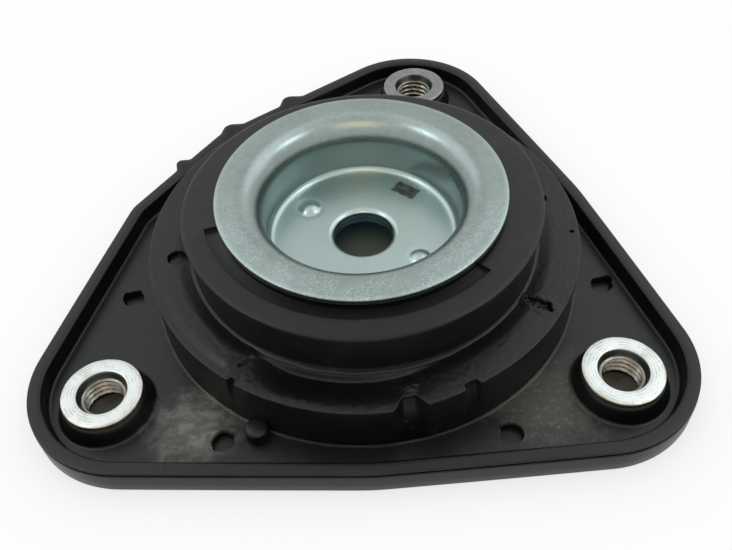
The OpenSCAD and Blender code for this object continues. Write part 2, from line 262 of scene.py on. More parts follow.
class Skin:
    """Points in millimetres, with heights over the plate's underside, and the faces between them."""

    def __init__(self):
        self.points, self.wear, self.faces = [], [], []

    def row(self, xy, height, wear=0.0):
        """Adds a closed row of points and gives their numbers."""
        first = len(self.points)
        heights = np.broadcast_to(height, len(xy))
        self.points += [(x, y, z) for (x, y), z in zip(xy, heights)]
        self.wear += list(np.broadcast_to(wear, len(xy)))
        return np.arange(first, len(self.points))

    def join(self, low, high):
        """Faces between two rows of the same length."""
        a, b = np.roll(low, -1), np.roll(high, -1)
        self.faces += np.stack([low, a, b, high], 1).tolist()

    def loft(self, rows):
        """Joins each row to the next, and gives the first and the last."""
        for low, high in zip(rows, rows[1:]):
            self.join(low, high)
        return rows[0], rows[-1]

    def lathe(self, centre, profile, columns, closed=False):
        """Turns a profile of (radius, height, wear) round an upright line."""
        angles = np.linspace(0, 2 * math.pi, columns, endpoint=False)
        rows = [self.row(polar(r, angles) + centre, h, w) for r, h, w in profile]
        if closed:
            self.join(rows[-1], rows[0])
        return self.loft(rows)

    def fill(self, outer, *holes):
        """Fills a flat face from its outer row to the rows of its holes."""
        loops = [np.asarray(outer), *map(np.asarray, holes)]
        numbers = np.concatenate(loops)
        xy = np.array([self.points[n][:2] for n in numbers])
        edges, first = [], 0
        for loop in loops:
            count = len(loop)
            edges += [(first + i, first + (i + 1) % count) for i in range(count)]
            first += count
        verts, _, faces, origin, _, _ = delaunay_2d_cdt([Vector(p) for p in xy], edges, [], 0, 1e-7)
        faces = np.array([f for f in faces if len(f) == 3])
        middles = np.array([[v.x, v.y] for v in verts])[faces].mean(1)
        keep = inside(middles, xy[: len(loops[0])])
        first = len(loops[0])
        for loop in loops[1:]:
            keep &= ~inside(middles, xy[first : first + len(loop)])
            first += len(loop)
        back = np.array([numbers[o[0]] for o in origin])
        self.faces += back[faces[keep]].tolist()

    def piece(self, name, finish, crease=40):
        """Makes the mesh object, in metres in the row frame."""
        points = np.array(self.points, float)
        points[:, 2] += UNDERSIDE
        mesh = bpy.data.meshes.new(name)
        mesh.from_pydata((points / 1000).tolist(), [], [list(map(int, f)) for f in self.faces])
        worn = mesh.attributes.new("wear", "FLOAT", "POINT")
        worn.data.foreach_set("value", np.array(self.wear, np.float32))
        made = bmesh.new()
        made.from_mesh(mesh)
        bmesh.ops.dissolve_degenerate(made, dist=1e-9, edges=made.edges)
        bmesh.ops.recalc_face_normals(made, faces=made.faces)
        made.to_mesh(mesh)
        made.free()
        mesh.shade_smooth()
        mesh.set_sharp_from_angle(angle=math.radians(crease))
        obj = bpy.data.objects.new(name, mesh)
        mesh.materials.append(finish)
        bpy.context.scene.collection.objects.link(obj)
        return obj


class Value:
    """A socket's value, so that shader maths reads as arithmetic."""

    def __init__(self, nodes, socket):
        self.nodes, self.socket = nodes, socket

    def math(self, operation, *terms):
        return self.nodes.add("ShaderNodeMath", {"operation": operation}, dict(enumerate(terms)))

    def __add__(self, other):
        return self.math("ADD", self, other)

    def __sub__(self, other):
        return self.math("SUBTRACT", self, other)

    def __rsub__(self, other):
        return self.math("SUBTRACT", other, self)

    def __mul__(self, other):
        return self.math("MULTIPLY", self, other)

    def __pow__(self, other):
        return self.math("POWER", self, other)

    __radd__ = __add__
    __rmul__ = __mul__

    def most(self, other):
        return self.math("MAXIMUM", self, other)

    def sine(self):
        return self.math("SINE", self)

    def size(self):
        return self.math("ABSOLUTE", self)

    def step(self, low, high, start=0.0, end=1.0):
        """Smooth step from start at low to end at high."""
        return self.nodes.add(
            "ShaderNodeMapRange",
            {"interpolation_type": "SMOOTHSTEP"},
            {0: self, 1: low, 2: high, 3: start, 4: end},
        )


class Nodes:
    """Adds nodes to a material or to the world."""

    def __init__(self, owner):
        owner.use_nodes = True
        self.owner, self.tree = owner, owner.node_tree
        self.tree.nodes.clear()

    def feed(self, socket, value):
        if isinstance(value, Value):
            self.tree.links.new(value.socket, socket)
        elif hasattr(value, "__len__") and len(value) == 3 and len(socket.default_value) == 4:
            socket.default_value = (*value, 1)
        else:
            socket.default_value = value

    def add(self, kind, settings=None, sockets=None, out=0):
        """Adds a node: its type, its settings, and the values or links of its sockets."""
        node = self.tree.nodes.new(kind)
        for key, value in (settings or {}).items():
            setattr(node, key, value)
        for key, value in (sockets or {}).items():
            self.feed(node.inputs[key], value)
        return Value(self, node.outputs[out]) if node.outputs else None

    def place(self):
        """The point in the object's own frame."""
        return self.add("ShaderNodeTexCoord", out="Object")

    def wear(self):
        """The worn edges, from the mesh."""
        return self.add("ShaderNodeAttribute", {"attribute_name": "wear"}, out="Fac")

    def stretch(self, place, scale, spin=0.0):
        """The point with its axes stretched and turned."""
        sockets = {"Vector": place, "Rotation": (0, 0, spin), "Scale": scale}
        return self.add("ShaderNodeMapping", sockets=sockets)

    def cloud(self, place, scale, detail=3.0, rough=0.55):
        """Noise from 0 to 1, with its scale in turns a metre."""
        sockets = {"Vector": place, "Scale": scale, "Detail": detail, "Roughness": rough}
        return self.add("ShaderNodeTexNoise", sockets=sockets)

    def cells(self, place, scale):
        """Flat random cells from 0 to 1."""
        colour = self.add("ShaderNodeTexVoronoi", sockets={"Vector": place, "Scale": scale}, out="Color")
        return self.add("ShaderNodeSeparateColor", sockets={0: colour})

    def scratches(self, place, spin, scale=260.0, narrow=18.0):
        """Fine straight scratches in one direction, from 0 to 1."""
        lines = self.cloud(self.stretch(place, (1, narrow, 1), spin), scale, 2, 0.5)
        return lines.step(0.66, 0.74)

    def axes(self, place):
        """The point's three coordinates in metres."""
        node = self.add("ShaderNodeSeparateXYZ", sockets={0: place}).socket.node
        return [Value(self, s) for s in node.outputs]

    def reach(self, place, x, y):
        """Distance in the plan from a point given in millimetres."""
        a, b, _ = self.axes(place)
        a, b = a - x / 1000, b - y / 1000
        return (a * a + b * b) ** 0.5

    def mix(self, low, high, share):
        """A colour between two."""
        sockets = {0: share, 6: low, 7: high}
        return self.add("ShaderNodeMix", {"data_type": "RGBA"}, sockets, out=2)

    def bump(self, height, depth_mm, strength=1.0):
        """A normal from a height in 0 to 1."""
        sockets = {"Strength": strength, "Distance": depth_mm / 1000, "Height": height}
        return self.add("ShaderNodeBump", sockets=sockets)

    def finish(self, **sockets):
        """Ends the material in a Principled shader, with its sockets named by their words."""
        named = {key.replace("_", " "): value for key, value in sockets.items()}
        shader = self.add("ShaderNodeBsdfPrincipled", sockets=named)
        self.add("ShaderNodeOutputMaterial", sockets={"Surface": shader})
        return self.owner


def nylon_finish(colours):
    """Moulded black nylon: satin, with grain, flow marks and scuffs that also paint a sheen on the floor, and
    rubbed edges.
    """
    n = Nodes(bpy.data.materials.new("black_nylon"))
    place = n.place()
    broad = n.cloud(place, 55, 4, 0.6)
    grain = n.cloud(place, 1500, 2, 0.6)
    x, y, z = n.axes(place)
    # Painted sheen: the two pale patches on the floor, lower left and lower right, are flow marks and scuffs
    # that also stand for a sheen
    patch = n.reach(place, -37.3, -44) + (n.cloud(place, 240, 4, 0.65) - 0.5) * 0.014
    creased = n.cloud(n.stretch(place, (1, 1.6, 1), 0.9), 260, 5, 0.7).step(0.4, 0.62, 0.42, 0.95)
    flow_and_sheen = patch.step(0.0125, 0.003) * creased
    rubbed = n.reach(place, 37.6, -41) + (n.cloud(place, 320, 4, 0.65) - 0.5) * 0.02
    scuffs_and_sheen = rubbed.step(0.017, 0.003) * n.cloud(place, 1100, 3, 0.7).step(0.52, 0.7, 0.26, 0.6)
    floor_marks_and_sheen = flow_and_sheen.most(scuffs_and_sheen) * z.step(-0.0076, -0.0081) * z.step(-0.0092, -0.0088)
    joint = (x + 0.0421).size().step(0.00022, 0.00008) * y.step(-0.052, -0.053) * z.step(-0.0046, -0.0043)
    lines = n.scratches(place, 0.5).most(n.scratches(place, 2.1, 310)) * n.cloud(place, 90, 2).step(0.5, 0.68)
    marks_and_sheen = floor_marks_and_sheen.most(lines * 0.2).most(joint * 0.06)
    edges = n.wear() * n.cloud(place, 380, 3, 0.6).step(0.3, 0.7)
    colour = n.mix(colours.nylon, colours.nylon_pale, marks_and_sheen + edges * 0.1 + broad.step(0.4, 0.75) * 0.015)
    rough = 0.27 + broad * 0.14 + grain * 0.04 + marks_and_sheen * 0.14 - edges * 0.04
    relief = grain * 0.3 + broad * 0.6 + n.cloud(place, 260, 3) * 0.5 - marks_and_sheen * 0.2 - joint * 2
    normal = n.bump(relief, 0.06, 0.5)
    return n.finish(Base_Color=colour, Roughness=rough, Normal=normal, Specular_IOR_Level=0.3)


def rubber_finish(colours):
    """Moulded black rubber with a dusty bloom and small moulding pits."""
    n = Nodes(bpy.data.materials.new("black_rubber"))
    place = n.place()
    broad = n.cloud(place, 70, 4, 0.6)
    grain = n.cloud(place, 1700, 2, 0.6)
    bloom = n.cloud(place, 210, 4, 0.65).step(0.48, 0.78) * 0.03 + n.wear() * 0.07
    pits = n.cloud(place, 520, 1).step(0.72, 0.8)
    colour = n.mix(colours.rubber, colours.nylon_pale, bloom)
    rough = 0.3 + broad * 0.12 + grain * 0.05 + bloom * 0.2
    normal = n.bump(grain * 0.3 + broad * 0.7 - pits * 0.3, 0.08, 0.5)
    return n.finish(Base_Color=colour, Roughness=rough, Normal=normal, Specular_IOR_Level=0.3)


def zinc_finish(colours, name, marked):
    """Satin zinc plate: faint spangle, fine scratches, rubbed spots, a plain ink mark, painted light on the
    cup's floor and the dish, and painted shading on the cup's wall.
    """
    n = Nodes(bpy.data.materials.new(name))
    place = n.place()
    broad = n.cloud(place, 60, 3, 0.6)
    spangle = n.cells(place, 900)
    x, y, z = n.axes(place)
    flange = z.step(0.0168, 0.0174)
    front = y.step(0.006, -0.022)
    flecks = n.cloud(place, 2400, 3, 0.7).step(0.46, 0.76) * n.cloud(place, 170, 2).step(0.3, 0.55)
    lines = n.scratches(place, 0.4, 420, 14).most(n.scratches(place, 1.9, 380, 16))
    rubbed = flecks * (0.25 + front * flange * 0.7) + lines * 0.1 + n.wear() * 0.45
    colour = n.mix(colours.zinc, colours.zinc_bright, rubbed + spangle * 0.1 + (broad - 0.5) * 0.35)
    # Painted light: the cup's floor and the dish below it are mixed halfway to the bright zinc
    colour = n.mix(colour, colours.zinc_bright, z.step(0.0062, 0.0042) * 0.5)
    # Painted shading: the cup's wall is tinted lighter and greener
    drawn = z.step(0.0036, 0.0052) * z.step(0.014, 0.0118)
    colour = n.mix(colour, colours.zinc_drawn, drawn * 0.36)
    if marked:
        fray = (n.cloud(place, 900, 3) - 0.5) * 0.0012
        along = (x * 0.7965 - y * 0.6046 - 0.00011 + fray).size().step(0.0033, 0.0029)
        across = (x * 0.6046 + y * 0.7965 - 0.01758 + fray).size().step(0.0021, 0.0017)
        ink = across * along * z.step(0.0052, 0.0046) * n.cloud(place, 1000, 3).step(0.35, 0.6, 0.72, 0.96)
        colour = n.mix(colour, colours.ink, ink)
        metal = 1 - ink
    rough = 0.24 + broad * 0.08 + spangle * 0.03 + rubbed * 0.04
    normal = n.bump(spangle * 0.25 + n.cloud(place, 1100, 2) * 0.5 - lines * 0.35, 0.02, 0.35)
    return n.finish(Base_Color=colour, Roughness=rough, Metallic=metal if marked else 1.0, Normal=normal)


def bush_finish(colours, name, plate):
    """Zinc plate with turning rings, and tarnish with painted shade in the thread."""
    n = Nodes(bpy.data.materials.new(name))
    place = n.place()
    x, y, z = n.axes(place)
    out = (x * x + y * y) ** 0.5
    rings = (out * 9500 + n.cloud(place, 300, 2) * 2).sine() * 0.5 + 0.5
    arcs = rings.step(0.55, 0.95) * n.cloud(place, 420, 3, 0.6).step(0.46, 0.6)
    fine = (out * 31000).sine() * 0.5 + 0.5
    broad = n.cloud(place, 260, 4, 0.65)
    flecks = n.cloud(place, 1300, 3, 0.7).step(0.58, 0.74)
    # Tarnish and painted shade: the bore is mixed almost wholly to dark colours, yellowish on the thread's
    # crests, darker in its roots and browner towards the bottom
    bore_tarnish_and_shade = out.step(0.0057, 0.0055) * z.step(-0.0031, -0.0034)
    root_tarnish_and_shade = n.mix((0.115, 0.097, 0.065), (0.107, 0.107, 0.087), z.step(-0.006, -0.005))
    colour = n.mix(plate, n.mix(colours.tarnish, root_tarnish_and_shade, out.step(0.0044, 0.0048)), bore_tarnish_and_shade * 0.9)
    colour = n.mix(colour, (0.3, 0.31, 0.3), flecks * 0.5 + arcs * 0.65 + broad.step(0.48, 0.72) * 0.4)
    stain = out.step(0.0081, 0.0087) * n.cloud(place, 330, 3).step(0.44, 0.6)
    colour = n.mix(colour, (0.42, 0.3, 0.15), stain * 0.8)
    rough = 0.24 + broad * 0.1 + rings * 0.04 + flecks * 0.08
    normal = n.bump(rings * 0.6 + fine * 0.25 + broad * 0.3, 0.025, 0.5)
    return n.finish(Base_Color=colour, Roughness=rough, Metallic=1.0, Normal=normal)


def bush_places(s):
    """Names and plan places of the three bushes."""
    turns = {"left": -1, "right": 0, "rear": 1}
    middle = polar(-s["bolt_offset"], s["apex"])
    return {k: middle + polar(s["bolt_circle"], s["apex"] + t * s["bolt_turn"]) for k, t in turns.items()}


def plate_edge(s):
    """Points and outward directions round the plate's edge."""
    rear = s["apex"] + math.pi

    def corner(k):
        middle = polar(-s["bolt_offset"], s["apex"])
        reach = s["bolt_circle"] + s["corner_reach"] - s["corner"]
        return (*(middle + polar(reach, s["apex"] + k * s["bolt_turn"])), s["corner"])

    def shoulder(k):
        return (*polar(s["shoulder_reach"] - s["shoulder"], rear + k * s["shoulder_turn"]), s["shoulder"])

    side = (0, 0, s["side"], 1.5)
    around = [
        (*corner(0), 1.2), side, (*corner(1), 0.5), (*shoulder(-1), 0.4),
        (*shoulder(1), 0.8), (*corner(-1), 1.2), side,
    ]
    normals = []
    for p, q in zip(around, around[1:] + around[:1]):
        d = math.hypot(q[0] - p[0], q[1] - p[1])
        normals.append(math.atan2(q[1] - p[1], q[0] - p[0]) - math.acos((p[2] - q[2]) / d))
    points, out = [], []
    for i, (x, y, r, gap) in enumerate(around):
        first, last = normals[i - 1], normals[i]
        last += 2 * math.pi * math.ceil((first - last) / (2 * math.pi))
        angles = np.linspace(first, last, max(3, int((last - first) * r / gap)))
        arc = np.array([x, y]) + polar(r, angles)
        q = around[(i + 1) % len(around)]
        end = np.array(q[:2]) + polar(q[2], normals[i])
        count = max(2, int(np.linalg.norm(end - arc[-1]) / gap))
        share = np.linspace(0, 1, count, endpoint=False)[1:, None]
        bow = SIDE_BOW * share * (1 - share) * polar(1.0, normals[i])
        line = arc[-1] + (end - arc[-1]) * share + bow
        points += [arc, line]
        out += [polar(1.0, angles), np.repeat(polar(1.0, angles[-1:]), len(line), 0)]
    return np.concatenate(points), np.concatenate(out)


def lug_shape(points):
    """How far each point of the edge is pushed out to make the lugs, from 0 to 1."""
    bearing = np.degrees(np.arctan2(points[:, 1], points[:, 0]))
    shape = np.zeros(len(points))
    for high, low, share in LUGS:
        u = (high - bearing) / (high - low)
        shape += share * step(0, 0.36, u) * (1 - step(0.45, 1, u))
    return shape


def turret_columns():
    """Directions of the turret's columns, closer together where it has detail."""
    fine = ((-176, -168, 0.2), (-131, -59, 0.25), (-38, -28, 0.2), (-5.4, -1.6, 0.12), (9.6, 13.2, 0.12))
    angles, at = [], -180.0
    for low, high, gap in fine:
        angles += [np.arange(at, low, 1.0), np.arange(low, high, gap)]
        at = high
    angles.append(np.arange(at, 180.0, 1.0))
    return np.concatenate(angles)


def turret_cuts(bearing):
    """Depths of the scallop down the turret's wall and of the nicks in its upper edge."""
    scallop = SCALLOP_DEPTH * step(4.4, 1.2, np.abs(bearing - SCALLOP_BEARING))
    nicks = np.zeros(len(bearing))
    for middle, half, deep in NICKS:
        nicks += deep * step(half, half - 0.7, np.abs(bearing - middle))
    wave = np.array([noise.noise(Vector((b * 0.35, 7.0, 0))) for b in bearing])
    front = step(-126, -122, bearing) * (1 - step(-66, -60, bearing))
    return scallop, nicks + 0.18 * front * np.abs(wave)


def turret_height(s, radius, bearing):
    """Height of the turret's top at each radius and bearing."""
    place = polar(radius, np.radians(bearing))
    curl = bearing + 125.4 - 0.16 * np.maximum(46.5 - radius, 0) ** 1.6
    away = step(-3.5, 2.5, curl) * (1 - step(-84, -58, bearing))
    left = step(-166, -146, bearing) * (1 - step(-127.5, -124, bearing))
    ledge = step(0.0, 1.9, s["turret"] - 1.45 - radius)
    swell = (1 - 0.5 * left * (1 - ledge)) * (0.5 + 0.5 * step(40.2, 44.2, radius))
    rough = ragged(place, 0.9, 3.0)
    height = s["turret_top"] + s["pad"] * swell * (1 - away) + 0.05 * rough
    bowl = step(40.7, 41.9, radius) * (1 - step(42.0, 48.9, radius))
    window = step(-124.5, -110, bearing) * (1 - step(-98, -60, bearing)) * away
    height -= s["trough"] * bowl * window
    slit = step(0.5, 0.1, np.abs(curl) * radius * math.pi / 180)
    height -= 0.6 * slit * step(42.4, 43.4, radius) * (1 - step(45.2, 46.2, radius))
    lump = np.hypot(*(place - polar(44.6, math.radians(-79.2))).T) + 0.5 * ragged(place, 1.3, 9.0)
    height += 0.45 * step(2.4, 0.2, lump)
    hole = np.hypot(*(place - polar(43.6, math.radians(-171.3))).T) + 0.18 * ragged(place, 1.1, 5.0)
    height -= 1.25 * step(2.3, 2.05, hole)
    spoke = (bearing + 33.9) * radius * math.pi / 180
    pit = np.hypot(spoke / 1.4, (radius - 44.8) / 3.0) - 1 + 0.35 * ragged(place, 0.9, 11.0)
    height -= (1.2 + 0.3 * rough) * step(0.12, -0.18, pit)
    height += 0.1 * step(0.7, 0.1, np.abs(pit - 0.4)) * (1 - away)
    for r, b, wide in ((44.4, 10.1, 0.75), (48.4, -4.6, 0.55)):
        height -= 0.9 * step(wide, wide * 0.55, np.hypot(*(place - polar(r, math.radians(b))).T))
    return height


def build_body(s, bush, finish):
    """The moulded body: plate, rim, collars, turret, web, lugs and peg in one skin."""
    skin = Skin()
    points, out = plate_edge(s)
    lug = lug_shape(points)
    f, rim, width, band, line = s["floor"], s["rim"], s["rim_width"], s["band"], s["line"]
    bead = band + line
    section = [
        (0.5, 0.0, 0.0), (0.15, 0.1, 0.2), (0.0, 0.45, 0.0), (0.0, 2.6, 0.0), (0.0, band - 0.4, 0.0),
        (0.03, band - 0.15, 0.1), (0.15, band - 0.02, 0.1), (line * 2, band + 0.02, 0.0),
        (line * 2, bead + 0.08, 0.0), (0.25, bead + 0.12, 0.0), (0.12, bead + 0.2, 0.1),
        (0.12, rim - 0.2, 0.2), (0.24, rim - 0.05, 0.3), (0.5, rim, 0.2), (width * 0.5, rim, 0.0),
        (width - 0.75, rim, 0.0), (width - 0.4, rim - 0.1, 0.0), (width - 0.12, rim - 0.35, 0.0),
        (width, rim - 0.8, 0.0), (width + 0.05, f + 1.2, 0.0), (width + 0.2, f + 0.5, 0.0),
        (width + 0.45, f + 0.12, 0.0), (width + 0.75, f, 0.0), (width + 1.1, f, 0.0),
    ]
    rows = []
    for inset, height, wear in section:
        share = float(step(band - 0.5, bead + 0.1, height)) * float(step(width - 0.2, 0.7, inset))
        push = (lug * s["lug"] * share - inset)[:, None]
        rows.append(skin.row(points + out * push, height + 0.8 * lug * share, wear))
    under, tray = skin.loft(rows)

    holes, bolts = [], []
    for place in bush_places(s).values():
        r, top = bush["radius"], s["collar"]
        profile = [
            (r + 2.5, f, 0), (r + 2.15, f, 0), (r + 1.85, f + 0.12, 0), (r + 1.6, f + 0.45, 0),
            (r + 1.45, f + 1.0, 0), (r + 1.1, f + 2.6, 0), (r + 0.65, top - 0.5, 0),
            (r + 0.45, top - 0.15, 0.1), (r + 0.25, top - 0.02, 0), (r + 0.1, top - 0.05, 0),
            (r + 0.02, top - 0.3, 0), (r + 0.02, 0, 0),
        ]
        foot, end = skin.lathe(place, profile, 96)
        holes.append(foot)
        bolts.append(end)
    angles = np.linspace(0, 2 * math.pi, 44, endpoint=False)
    for bearing, torn, reach in PIN_HOLES:
        middle = polar(PIN_CIRCLE, math.radians(bearing))
        torn_edge = ragged(polar(2.6, angles), 1.0, bearing)
        r = s["pin_hole"] * (1 + 0.1 * torn_edge)
        gap = np.abs((angles - torn + math.pi) % (2 * math.pi) - math.pi)
        r = r + reach * step(0.5, 0.0, gap)
        ring = [
            skin.row(middle + polar(r + 0.6, angles), f, 0.0),
            skin.row(middle + polar(r + 0.3, angles), f, 0.0),
            skin.row(middle + polar(r + 0.14, angles), f + 0.2 * np.maximum(torn_edge, 0), 1.0),
            skin.row(middle + polar(r - 0.05, angles), f - 0.3, 0.0),
            skin.row(middle + polar(r * 0.92, angles), f - PIN_DEPTH, 0.0),
        ]
        edge, low = skin.loft(ring)
        skin.fill(low)
        holes.append(edge)

    bearing = turret_columns()
    around = np.radians(bearing)
    scallop, nicks = turret_cuts(bearing)
    t, top, web = s["turret"], s["turret_top"], s["turret_top"] - s["web"]
    edge = t - scallop - nicks
    flash = 0.22 * np.array([noise.noise(Vector((math.cos(a) * 9, math.sin(a) * 9, 2))) for a in around])
    brow = turret_height(s, edge - 0.3, bearing)
    rows = [
        skin.row(polar(t + 1.6, around), f, 0.0),
        skin.row(polar(t + 0.75 + flash, around), f, 0.2),
        skin.row(polar(t + 0.7 + flash, around), f + 0.16, 0.6),
        skin.row(polar(t + 0.4 + flash * 0.6, around), f + 0.24, 0.6),
        skin.row(polar(t + 0.12, around), f + 0.28, 0.0),
        skin.row(polar(t + 0.03, around), f + 0.6, 0.0),
    ]
    upright = ((f + 1.4, 0.04, 0), (web - 3, 0.35, 0), (web + 0.5, 0.72, 0.3), (top - 1.6, 0.95, 0.8))
    for height, scoop, nick in upright:
        rows.append(skin.row(polar(t - scoop * scallop - nick * nicks, around), height))
    for drop, inset, wear in ((0.5, 0.0, 0.0), (0.12, 0.0, 0.2), (0.03, 0.06, 0.5), (0.0, 0.16, 0.5)):
        rows.append(skin.row(polar(edge - inset, around), brow - drop, wear))
    for share in np.linspace(0, 1, 46):
        radius = (edge - 0.3) * (1 - share) + TURRET_INSIDE * share
        height = turret_height(s, radius, bearing)
        rows.append(skin.row(polar(radius, around), height, max(0.0, 0.4 - share * 8)))
    hole, wall = s["web_hole"], t - s["turret_wall"]
    inner = [
        (40.0, top), (hole + 0.3, top), (hole, top - 0.3), (hole, web + 0.3), (hole + 0.3, web),
        (wall - 0.5, web), (wall - 0.12, web - 0.12), (wall, web - 0.5), (wall, 0.3), (wall + 0.3, 0),
    ]
    rows += [skin.row(polar(r, around), h) for r, h in inner]
    foot, base = skin.loft(rows)
    skin.fill(tray, foot, *holes)
    skin.fill(under, base, *bolts)

    peg = polar(PEG_RADIUS, math.radians(PEG_BEARING))
    dome = [
        (2.62, f - 0.3, 0), (2.55, f + 0.4, 0), (2.5, f + 2.3, 0), (2.4, f + 2.8, 0.4), (2.1, f + 3.08, 0.6),
        (1.5, f + 3.24, 0.3), (0.8, f + 3.3, 0), (0.25, f + 3.3, 0),
    ]
    low, high = skin.lathe(peg, dome, 40)
    skin.fill(low)
    skin.fill(high)
    return skin.piece("moulded_body", finish)


def build_bush(name, s, finish):
    """One bush about its own axis, with a real thread."""
    skin = Skin()
    r, long, bevel, mouth, deep = s["radius"], s["length"], s["bevel"], s["mouth"], s["mouth_depth"]
    columns = 96
    angles = np.linspace(0, 2 * math.pi, columns, endpoint=False)
    outside = [
        (s["minor"] + 0.7, 0.0), (r - 0.3, 0.0), (r, 0.3), (r, long - 1.15), (r + 0.2, long - 1.1),
        (r + 0.22, long - bevel), (r + 0.22, long - 0.2), (r + 0.12, long - 0.06), (r - 0.1, long),
        (mouth + 0.3, long), (mouth + 0.1, long - 0.06), (mouth, long - 0.25),
        (mouth - 0.25, long - deep * 0.6), (s["minor"] + 0.6, long - deep),
        (s["minor"] + 0.3, long - deep - 0.12),
    ]
    rows = [skin.row(polar(a, angles), h, 0.0) for a, h in outside]
    start, end = long - deep - 0.15, 0.45
    for height in np.linspace(start, end, 64):
        phase = (height / s["pitch"] - angles / (2 * math.pi)) % 1
        crest = np.clip(np.abs(phase - 0.5) * 2.6 - 0.18, 0, 1)
        lead = float(step(start - 0.55, start - 0.15, height))
        groove = (1 - crest * float(step(end, end + 0.4, height))) * (1 - lead)
        radius = s["minor"] + 0.02 + 0.1 * lead + (s["major"] - s["minor"]) * groove
        rows.append(skin.row(polar(radius, angles), height, 0.0))
    skin.loft(rows)
    skin.join(rows[-1], rows[0])
    return skin.piece(name, finish, 35)


def drum_fall(s, place):
    """How far the drum's top drops towards the rear at each point."""
    rear = place @ polar(1.0, math.radians(110))
    return math.tan(s["fall"]) * np.maximum(rear, 0) * step(0, 6, rear)


def build_rubber(s, body, cup, finish):
    """The rubber drum with its crescent recess, foot flash, neck and lower lip."""
    skin = Skin()
    bearing = np.concatenate([
        np.arange(-180, -167.8, 1.0), np.arange(-167.8, -164.8, 0.1), np.arange(-164.8, -44.4, 1.0),
        np.arange(-44.4, -41.4, 0.1), np.arange(-41.4, 180, 1.0),
    ])
    around = np.radians(bearing)
    low, top = body["turret_top"], body["turret_top"] + s["height"]
    web = low - body["web"]
    neck, foot = body["web_hole"] - 0.3, s["top"] - s["draft"]
    bonded = cup["wall"] + cup["sheet"] + 0.3
    seat = cup["flange_top"] - cup["depth"] - cup["sheet"]
    bend, bend_z = cup["wall"] + cup["roll"], cup["flange_top"] - cup["roll"]
    deep = s["recess"] * step(-166.6, -166.0, bearing) * (1 - step(-43.3, -42.7, bearing))
    flash = 0.25 * np.array([noise.noise(Vector((math.cos(a) * 8, math.sin(a) * 8, 6))) for a in around])
    under = web - s["lip_height"]
    lower = [
        (bonded, seat, 0), (neck - 0.1, under + 0.15, 0), (neck + 0.4, under, 0), (s["lip"] - 0.5, under, 0),
        (s["lip"], under + 0.5, 0), (s["lip"], web - 0.02, 0), (neck, web - 0.02, 0),
        (neck, low + 0.03, 0), (foot + 0.6, low + 0.03, 0),
    ]
    rows = [skin.row(polar(r, around), h, w) for r, h, w in lower]
    for r, h, w, share in (
        (foot + 1.15, 0.12, 0.2, 1), (foot + 1.2, 0.4, 0.5, 1), (foot + 0.9, 0.58, 0.5, 0.6),
        (foot + 0.3, 0.66, 0.2, 0), (foot + 0.1, 1.0, 0, 0), (foot + 0.15, 2.0, 0, 0),
        (foot + 0.45, 6.0, 0, 0),
    ):
        rows.append(skin.row(polar(r + flash * share, around), low + h, w))
    inward = [
        (s["top"] - 0.1, -1.2, 0), (s["top"], -0.5, 0), (s["top"] - 0.12, -0.16, 0.1),
        (s["top"] - 0.4, 0, 0.1), (s["top"] - 1.0, 0, 0), (s["recess_out"] + 2.0, 0, 0),
        (s["recess_out"] + 0.3, 0, 0.1),
    ]
    for r, h, w in inward:
        xy = polar(np.full(len(around), r), around)
        rows.append(skin.row(xy, top + h - drum_fall(s, xy), w))
    for r, share in ((s["recess_out"] + 0.06, 0.06), (s["recess_out"], 0.94), (s["recess_out"] - 0.15, 1.0),
                     (s["recess_in"] + 0.1, 1.05), (s["recess_in"], 1.0), (s["recess_in"] - 0.06, 0.0)):
        xy = polar(np.full(len(around), r), around)
        rows.append(skin.row(xy, top - deep * share - drum_fall(s, xy), 0.0))
    arc_r = cup["roll"] - cup["sheet"] - 0.3
    first = math.acos(min(1.0, (top - bend_z) / arc_r))
    lean = [(30.5, top), (bend - arc_r * math.sin(first), top)]
    curve = np.linspace(first, math.pi / 2, 8)[1:]
    lean += [(bend - arc_r * math.sin(a), bend_z + arc_r * math.cos(a)) for a in curve]
    for r, h in lean:
        xy = polar(np.full(len(around), r), around)
        rows.append(skin.row(xy, np.minimum(h, top - drum_fall(s, xy))))
    first_row, last_row = skin.loft(rows)
    skin.join(last_row, first_row)
    return skin.piece("rubber_drum", finish)


def arc(x, z, r, first, last, count):
    """Points of a round in a section, with angles in degrees from outward."""
    angles = np.radians(np.linspace(first, last, count))
    return [(x + r * math.cos(a), z + r * math.sin(a)) for a in angles]


